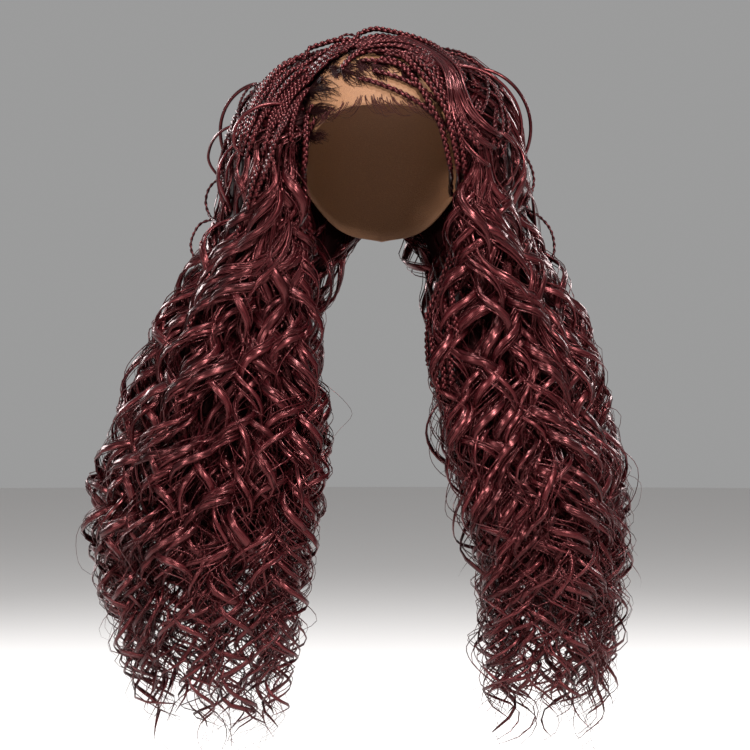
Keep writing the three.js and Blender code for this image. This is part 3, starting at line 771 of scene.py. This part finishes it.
class FrontSurface:
    """How far forward the hair and the cap reach at each place across and up, smoothed."""

    LOW = np.array([-0.34, -0.45])
    CELL = 0.005
    CELLS = (126, 104)
    FILLING_ROUNDS = 30
    SMOOTHING_ROUNDS = 3

    def __init__(self):
        reach = np.full(self.CELLS, np.inf)
        level = np.linspace(-COVERED_ARC, 0.36, 150)[:, None, None]
        across, depth = np.linspace(0, 1, 26)[:, None], np.linspace(0, 1, 40)
        toward = direction(np.linspace(0, 360, 180)[:, None], np.linspace(-10, 90, 80))
        points = [on_head(toward, 0.004)]
        for side in SIDES:
            on_side = level * np.where(level < 0, top_at(side, depth), 1)
            points.append(place(side, on_side, across, depth))
        for some in points:
            spots = ((some[..., (0, 2)] - self.LOW) / self.CELL).reshape(-1, 2).astype(int)
            np.minimum.at(reach, (spots[:, 0], spots[:, 1]), some[..., 1].ravel())
        for _ in range(self.FILLING_ROUNDS):
            around = self.around(reach)
            known = np.isfinite(around)
            mean = np.where(known, around, 0).sum(0) / np.maximum(known.sum(0), 1)
            reach = np.where(np.isfinite(reach) | ~known.any(0), reach, mean)
        reach = np.where(np.isfinite(reach), reach, 0.0)
        for _ in range(self.SMOOTHING_ROUNDS):
            reach = self.around(reach).mean(0)
        self.reach = reach

    @staticmethod
    def around(grid):
        """Each cell with the eight round it."""
        return np.stack([np.roll(grid, (i, j), (0, 1)) for i in (-1, 0, 1) for j in (-1, 0, 1)])

    def drape(self, flat, lift):
        """Points on the surface, or lifted off it, for places across and up."""
        spot = (flat - self.LOW) / self.CELL - 0.5
        i = np.floor(spot).astype(int)
        s, t = np.moveaxis(spot - i, -1, 0)
        i, j = np.moveaxis(i, -1, 0)
        lower = lerp(self.reach[i, j], self.reach[i + 1, j], s)
        upper = lerp(self.reach[i, j + 1], self.reach[i + 1, j + 1], s)
        return np.stack([flat[..., 0], lerp(lower, upper, t) - lift, flat[..., 1]], -1)


def course(row, count):
    """Places across and up along a row of a table."""
    return smooth_through(np.array(row) * MILLIMETRE, count)


def plait_shares(surface, row, per_turn=PLAIT_POINTS_PER_TURN):
    """Shares along a row's course, as many as a plait along it needs."""
    rough = surface.drape(course(row, COURSE_POINTS), 0.0)
    return np.linspace(0, 1, plait_points(rough, per_turn))


def front_hair(surface):
    """The plaits, loops and smooth locks that the front shows, laid on the hair under them."""
    batch, smooth = Tubes(), Tubes()
    rng = np.random.default_rng(51)
    for number, row in enumerate(FRONT_BRAIDS):
        share = plait_shares(surface, row, FRONT_POINTS_PER_TURN)
        lift = (0.003 + 0.003 * (number % 3)) * np.sin(math.pi * np.clip(share, 0, 0.8))
        lift = lift - 0.004 * smoothstep(share, 0.9, 1)
        path = surface.drape(course(row, len(share)), lift + 0.001)
        add_plait(batch, path[None], middles_behind(path)[None], BRAID_WIDTH, rng, FRONT_SIDES)
    for row in FRONT_LOOPS:
        share = plait_shares(surface, row)
        path = surface.drape(course(row, len(share)), 0.004 * np.sin(math.pi * share))
        add_plait(batch, path[None], middles_behind(path)[None], LOOP_WIDTH, rng)
    for row in SMOOTH_FRONT:
        for _ in range(SMOOTH_HAIRS):
            share = np.linspace(0, 1, COURSE_POINTS)
            aside = rng.normal(0, 0.0022) * np.sin(math.pi * np.clip(share * 0.8 + 0.1, 0, 1))
            flat = course(row, len(share)) + aside[:, None] * (0.7, 0.7)
            lift = 0.008 * np.sin(math.pi * np.clip(share * 1.3, 0, 1)) + rng.uniform(0.002, 0.005)
            path = surface.drape(flat, lift)[None]
            half = rng.uniform(0.0006, 0.0014) * np.clip(8 * share, 0.3, 1)
            _, sideways = frames_along(path, middles_behind(path))
            smooth.add(path, sideways, half, half * 0.8, 4, rng.random(1), 0.0)
    made = batch.mesh("front_braids", BRAID_HAIR)
    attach(made, "root")
    made = smooth.mesh("front_smooth_locks", CURL_HAIR)
    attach(made, "root")


def middles_behind(path):
    """Middles for a path on the front, so that the way out is forward and away from the head."""
    return path * (0.35, 0, 1) + (0, 0.08, -0.04)


def root_fans():
    """Hair drawn back to each root from its section, most of it from the side of the forehead."""
    batch = Tubes()
    rng = np.random.default_rng(41)
    share = np.linspace(1, 0, 7)[None, :]
    for x, z, angle, reach, spread in FANS:
        to_front = rng.random(FAN_HAIRS) < 0.7
        forward = rng.normal(angle, 26 * spread, FAN_HAIRS)
        turn = np.where(to_front, forward, rng.uniform(0, 360, FAN_HAIRS)) * DEGREE
        far = np.where(to_front, reach * np.exp(-((turn / DEGREE - angle) / (48 * spread)) ** 2), 7)
        far = far * rng.uniform(0.55, 1.05, FAN_HAIRS) + 4
        ray = np.stack([np.cos(turn), np.sin(turn)], -1)[:, None]
        square = ray[..., ::-1] * (-1, 1)
        bend = rng.normal(0.09, 0.14, (FAN_HAIRS, 1)) * np.sin(math.pi * share)
        flat = np.array([x, z]) + far[:, None, None] * (ray * share[..., None] + square * bend[..., None])
        standoff = LACE_THICKNESS + 0.0005 + 0.0035 * (1 - share) ** 4
        paths = on_front_of_head(flat * MILLIMETRE, standoff)
        half = FAN_HAIR_WIDTH / 2 * lerp(0.3, 1.0, (1 - share) ** 0.6)
        batch.add(paths, unit(paths - HEAD_MIDDLE), half * 0.7, half, 3, rng.random(FAN_HAIRS), 0.7)
    add_baby_hair(batch, rng)
    made = batch.mesh("root_hair", BABY_HAIR)
    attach(made, "root")


def on_front_of_head(flat, standoff):
    """Points on the front of the head form, a standoff outside it, at places across and up."""
    across = np.abs(flat[..., 0]) / (HEAD_WIDTH / 2 + standoff)
    up = np.abs(flat[..., 1] + DOME_HEIGHT) / (DOME_HEIGHT + standoff)
    used = across**HEAD_SQUARENESS + up**HEAD_SQUARENESS
    shrink = np.minimum(1, (0.995 / used) ** (1 / HEAD_SQUARENESS))
    left_over = np.maximum(1 - used * shrink**HEAD_SQUARENESS, 0)
    forward = (HEAD_LENGTH / 2 + standoff) * left_over ** (1 / HEAD_SQUARENESS)
    height = (flat[..., 1] + DOME_HEIGHT) * shrink - DOME_HEIGHT
    return np.stack([flat[..., 0] * shrink, -forward, height], -1)


def add_baby_hair(batch, rng):
    """Short wisps that leave the front edge of the lace and curl along the forehead."""
    share = np.linspace(0, 1, 14)
    for azimuth in np.linspace(-58, 52, WISP_ROOTS) + rng.uniform(-2, 2, WISP_ROOTS):
        rim = rim_elevation(np.array([azimuth]))[0]
        to_side = -1 if azimuth < -10 else 1
        for _ in range(WISPS_PER_ROOT):
            start = azimuth + rng.uniform(-4, 4)
            sweep = to_side * rng.uniform(6, 17)
            drop = rng.uniform(4, 11)
            around = start + sweep * share**1.4
            up = rim + 3 + rng.uniform(-1, 3) - drop * np.sin(math.pi * 0.62 * share)
            path = on_head(direction(around, up), LACE_THICKNESS + 0.0008)[None]
            half = WISP_WIDTH / 2 * (1 - 0.6 * share)
            batch.add(path, unit(path - HEAD_MIDDLE), half, half, 3, rng.random(1), 0.0)


def curls(side, locks):
    """The locks of a side, in one piece for each group of the model."""
    for number, group in enumerate(GROUPS):
        batch = Tubes()
        rng = np.random.default_rng(100 + 10 * number + (side == "right"))
        for lock in locks:
            if min(int(np.clip(lock["depth"], 0, 0.999) * len(GROUPS)), 2) == number:
                add_lock(batch, side, lock, rng)
        add_strays(batch, side, group, rng)
        if group == "side":
            add_loops(batch, side, rng)
        made = batch.mesh(f"locks_{side}_{group}", CURL_HAIR)
        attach(made, "root")
        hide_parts(f"curls_{side}_{group}")


def core(side):
    """The heart of the hair in painted shade, which the locks hide: it reaches from the cap down the fall.
    """
    slices, rows = 48, 56
    corner = np.arange(slices) / slices * 4
    spots = np.array([outline_spot(c % 1, FACES[int(c)]) for c in corner])
    level = np.linspace(-1, 1, rows)
    size = lerp(CORE_SIZE_ON_CAP, CORE_SIZE, smoothstep(level, -0.3, 0.1))
    size = size * np.clip(1 - np.maximum(level, 0) ** 4, 0.02, 1)
    across, depth = (0.5 + (spots[None, :, k] - 0.5) * size[:, None] for k in (0, 1))
    level = np.where(level > 0, CORE_END * level, COVERED_ARC * level)[:, None]
    level = np.where(level < 0, level * top_at(side, depth), level)
    batch = Tubes()
    rings = place(side, level, across, depth, CORE_INSIDE * smoothstep(-level, -0.02, 0.02))[None]
    # The heart carries painted shade, which darkens it and dulls its gloss
    batch.add_rings(rings if side == "left" else rings[:, :, ::-1], 0.3, 0.88)
    rng = np.random.default_rng(55)
    share = np.linspace(0, 1, 26)[None]
    depth = (np.arange(UNDER_LOCKS)[:, None] + rng.uniform(0, 1, (UNDER_LOCKS, 1))) / UNDER_LOCKS
    depth = lerp(0.12, 1.0, depth)
    depth = depth + 0.012 * np.sin(share * 9 + rng.uniform(0, 6, (UNDER_LOCKS, 1)))
    level = lerp(-COVERED_ARC * top_at(side, depth), rng.uniform(0.05, 0.12, (UNDER_LOCKS, 1)), share)
    paths = place(side, level, 0.9, depth, CORE_INSIDE * 0.75)
    out, sideways = frames_along(paths, middle_at(side, level))
    half = BRAID_WIDTH / 2 * rng.uniform(0.6, 1.0, (UNDER_LOCKS, 1))
    # These locks carry painted shade, dark and dull, as they lie deep under the rest of the hair
    batch.add(paths, sideways, half, half * 0.8, 4, rng.random(UNDER_LOCKS), 0.85)
    made = batch.mesh(f"core_{side}", BABY_HAIR)
    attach(made, "root")


# Materials
# The colour and the gloss of hair in full painted shade
IN_SHADE = (0.003, 0.0008, 0.001)
SHINE_IN_SHADE = 0.03
HAIR_TINT = (1.0, 0.3, 0.3)
TAN_MESH = (0.3, 0.13, 0.042)
TAN_THREAD = (0.22, 0.095, 0.03)
KNOTS = (0.07, 0.028, 0.018)
FLOOR_COLOUR = (0.8, 0.78, 0.77)


def set_sockets(tree, node, sockets):
    """Sets a node's sockets to values, or joins them to what other nodes give."""
    for name, value in sockets.items():
        if isinstance(value, bpy.types.NodeSocket):
            tree.links.new(value, node.inputs[name])
        else:
            node.inputs[name].default_value = value


def add_node(tree, kind, sockets, **settings):
    node = tree.nodes.new("ShaderNode" + kind)
    for name, value in settings.items():
        setattr(node, name, value)
    set_sockets(tree, node, sockets)
    return node


def new_material(name):
    material = bpy.data.materials.new(name)
    material.use_nodes = True
    return material, material.node_tree, material.node_tree.nodes["Principled BSDF"]


def tone_and_shade(tree):
    """The tone and the painted shade that each corner of a piece carries."""
    layer = add_node(tree, "Attribute", {}, attribute_name="tone")
    split = add_node(tree, "SeparateColor", {"Color": layer.outputs["Color"]})
    return split.outputs["Red"], split.outputs["Green"]


def mixed(tree, factor, first, second):
    """A colour between two."""
    sockets = {"Factor": factor, "A": first, "B": second}
    return add_node(tree, "Mix", sockets, data_type="RGBA").outputs["Result"]


def ranged(tree, value, **limits):
    """A value moved from one range to another, 0 to 1 where a limit isn't given."""
    sockets = {name.replace("_", " ").title(): limit for name, limit in limits.items()}
    return add_node(tree, "MapRange", {"Value": value, **sockets}).outputs["Result"]


def hair_material(name, dark, light, roughness, stripe_scale, relief, shine):
    """Hair: fine stripes along each strand in colour, gloss and relief, and inner layers darkened by
    painted shade.
    """
    material, tree, shader = new_material(name)
    tone, shade = tone_and_shade(tree)
    uv = add_node(tree, "UVMap", {}, uv_map="strand").outputs["UV"]
    stretch = add_node(tree, "Mapping", {"Vector": uv, "Scale": (14, stripe_scale, 1)})
    noise = {"Vector": stretch.outputs["Vector"], "Scale": 1.0, "Detail": 3.0, "Roughness": 0.65}
    stripes = add_node(tree, "TexNoise", noise, noise_dimensions="2D").outputs["Fac"]
    contrast = ranged(tree, stripes, from_min=0.3, from_max=0.7)
    level = add_node(tree, "Math", {0: tone, 1: 0.6, 2: contrast}, operation="MULTIPLY_ADD")
    ramp = add_node(tree, "ValToRGB", {"Fac": level.outputs[0]})
    ramp.color_ramp.elements[0].position = 0.3
    ramp.color_ramp.elements[0].color = (*dark, 1)
    ramp.color_ramp.elements[1].color = (*light, 1)
    bump = add_node(tree, "Bump", {"Height": stripes, "Strength": 1.0, "Distance": relief})
    # Painted shade: where the corners carry shade, the colour goes towards IN_SHADE and the gloss towards
    # SHINE_IN_SHADE
    sockets = {
        "Base Color": mixed(tree, shade, ramp.outputs["Color"], (*IN_SHADE, 1)),
        "Specular IOR Level": ranged(tree, shade, to_min=shine, to_max=SHINE_IN_SHADE),
        "Specular Tint": (*HAIR_TINT, 1),
        "Roughness": ranged(tree, stripes, to_min=roughness - 0.08, to_max=roughness + 0.12),
        "Normal": bump.outputs["Normal"],
    }
    set_sockets(tree, shader, sockets)
    return material


def lace_material(name):
    """Tan lace: a fine hexagonal net, darkened by the knots of the hair."""
    material, tree, shader = new_material(name)
    knotted, _ = tone_and_shade(tree)
    spot = add_node(tree, "TexCoord", {}).outputs["Object"]
    net = add_node(tree, "TexVoronoi", {"Vector": spot, "Scale": 620}, feature="DISTANCE_TO_EDGE")
    thread = ranged(tree, net.outputs["Distance"], from_max=0.22)
    tan = mixed(tree, thread, (*TAN_MESH, 1), (*TAN_THREAD, 1))
    bump = add_node(tree, "Bump", {"Height": thread, "Strength": 0.5, "Distance": 0.0004}, invert=True)
    sockets = {
        "Base Color": mixed(tree, knotted, tan, (*KNOTS, 1)),
        "Roughness": 0.7,
        "Normal": bump.outputs["Normal"],
    }
    set_sockets(tree, shader, sockets)
    return material


def plain_material(name, colour, roughness):
    material, tree, shader = new_material(name)
    set_sockets(tree, shader, {"Base Color": (*colour, 1), "Roughness": roughness})
    return material


CURL_HAIR = hair_material(
    "curl_hair", dark=(0.0035, 0.0005, 0.0008), light=(0.025, 0.0028, 0.0038),
    roughness=0.24, stripe_scale=450, relief=0.0007, shine=0.62
)
BRAID_HAIR = hair_material(
    "braid_hair", dark=(0.0045, 0.0005, 0.0008), light=(0.025, 0.0016, 0.0026),
    roughness=0.28, stripe_scale=300, relief=0.0002, shine=0.62
)
BABY_HAIR = hair_material(
    "baby_hair", dark=(0.003, 0.0009, 0.0009), light=(0.008, 0.0024, 0.0024),
    roughness=0.5, stripe_scale=600, relief=0.0004, shine=0.5
)
LACE = lace_material("lace")


def rim_elevation(azimuth):
    """The elevation of the cap's edge, by halving the range that holds it."""
    from_front = np.abs((azimuth + 180) % 360 - 180)
    drop = NAPE_DROP * from_table(CAP_RIM, 1, from_front)
    low, high = np.full(azimuth.shape, -80.0), np.full(azimuth.shape, 89.0)
    for _ in range(40):
        middle = (low + high) / 2
        below = on_head(direction(azimuth, middle), 0.0)[..., 2] < -drop
        low, high = np.where(below, middle, low), np.where(below, high, middle)
    return low


def lace_cap():
    """The cap as a thin shell of net, open below."""
    slices, rows = 120, 36
    azimuth = np.arange(slices) * 360 / slices
    rim = rim_elevation(azimuth)
    share = np.concatenate([np.linspace(0.002, 1, rows), np.linspace(1, 0.002, rows)])
    standoff = np.repeat([LACE_THICKNESS, 0.0], rows)
    elevation = lerp(90.0, rim[None], share[:, None])
    rings = on_head(direction(azimuth[None], elevation), standoff[:, None])
    batch = Tubes()
    batch.add_rings(rings[None, :, ::-1], 0.5, 0.0)
    made = batch.mesh("lace_cap_net", LACE)
    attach(made, "root")
    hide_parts("lace_cap")


for side_name in SIDES:
    side_locks = lock_list(side_name)
    cap_braids(side_name)
    over_braids(side_name, side_locks)
    curls(side_name, side_locks)
    core(side_name)
lace_cap()
front_hair(FrontSurface())
root_fans()

# The stage: a round pale floor, lamps, and a camera at the photograph's distance and width of view
FLOOR_DROP = 0.05
FLOOR_RADIUS = 9.0
FLOOR_CORNERS = 96
CAMERA_AIM = (-0.007, -0.05, -0.323)
CAMERA_DISTANCE = 3.0
VIEW_WIDTH = 0.735
WORLD_STRENGTH = 0.33

# Columns: name, place, what it points at, size in metres, power in watts
LAMPS = [
    ("key", (0.7, -2.2, 1.3), (0, 0, -0.3), 0.35, 115),
    ("fill", (-1.5, -1.9, 0.5), (0, 0, -0.3), 0.35, 45),
    ("top", (0.1, -0.5, 1.7), (0, 0, -0.2), 0.35, 45),
    ("back_left", (-1.6, 1.4, 0.6), (0, 0, -0.2), 0.6, 25),
    ("back_right", (1.6, 1.4, 0.6), (0, 0, -0.2), 0.6, 25),
]


def floor():
    turn = np.linspace(0, FULL_TURN, FLOOR_CORNERS, endpoint=False)
    level = np.full(turn.shape, model_box[0][2] - FLOOR_DROP)
    verts = np.stack([FLOOR_RADIUS * np.cos(turn), FLOOR_RADIUS * np.sin(turn), level], -1)
    made = mesh_object("floor", verts, np.arange(len(turn)), np.array([len(turn)]))
    made.data.materials.append(plain_material("floor", FLOOR_COLOUR, 0.9))


def lamp(name, place_at, aim, size, power):
    data = bpy.data.lights.new(name, "AREA")
    data.shape = "DISK"
    data.size = size
    data.energy = power
    light = bpy.data.objects.new(name, data)
    light.location = place_at
    light.rotation_euler = (Vector(aim) - Vector(place_at)).to_track_quat("-Z", "Y").to_euler()
    bpy.context.scene.collection.objects.link(light)


def camera():
    """A level camera in front, whose view of the middle of the hair is the photograph's."""
    data = bpy.data.cameras.new("camera")
    data.sensor_width = 36
    data.lens = data.sensor_width * CAMERA_DISTANCE / VIEW_WIDTH
    made = bpy.data.objects.new("camera", data)
    made.location = Vector(CAMERA_AIM) - Vector((0, CAMERA_DISTANCE, 0))
    made.rotation_euler = (math.pi / 2, 0, 0)
    bpy.context.scene.collection.objects.link(made)
    bpy.context.scene.camera = made


def pale_world():
    world = bpy.data.worlds.new("world")
    world.use_nodes = True
    background = world.node_tree.nodes["Background"]
    background.inputs["Color"].default_value = (1, 1, 1, 1)
    background.inputs["Strength"].default_value = WORLD_STRENGTH
    bpy.context.scene.world = world


floor()
for row in LAMPS:
    lamp(*row)
pale_world()
bpy.context.scene.view_settings.view_transform = "Standard"
camera()
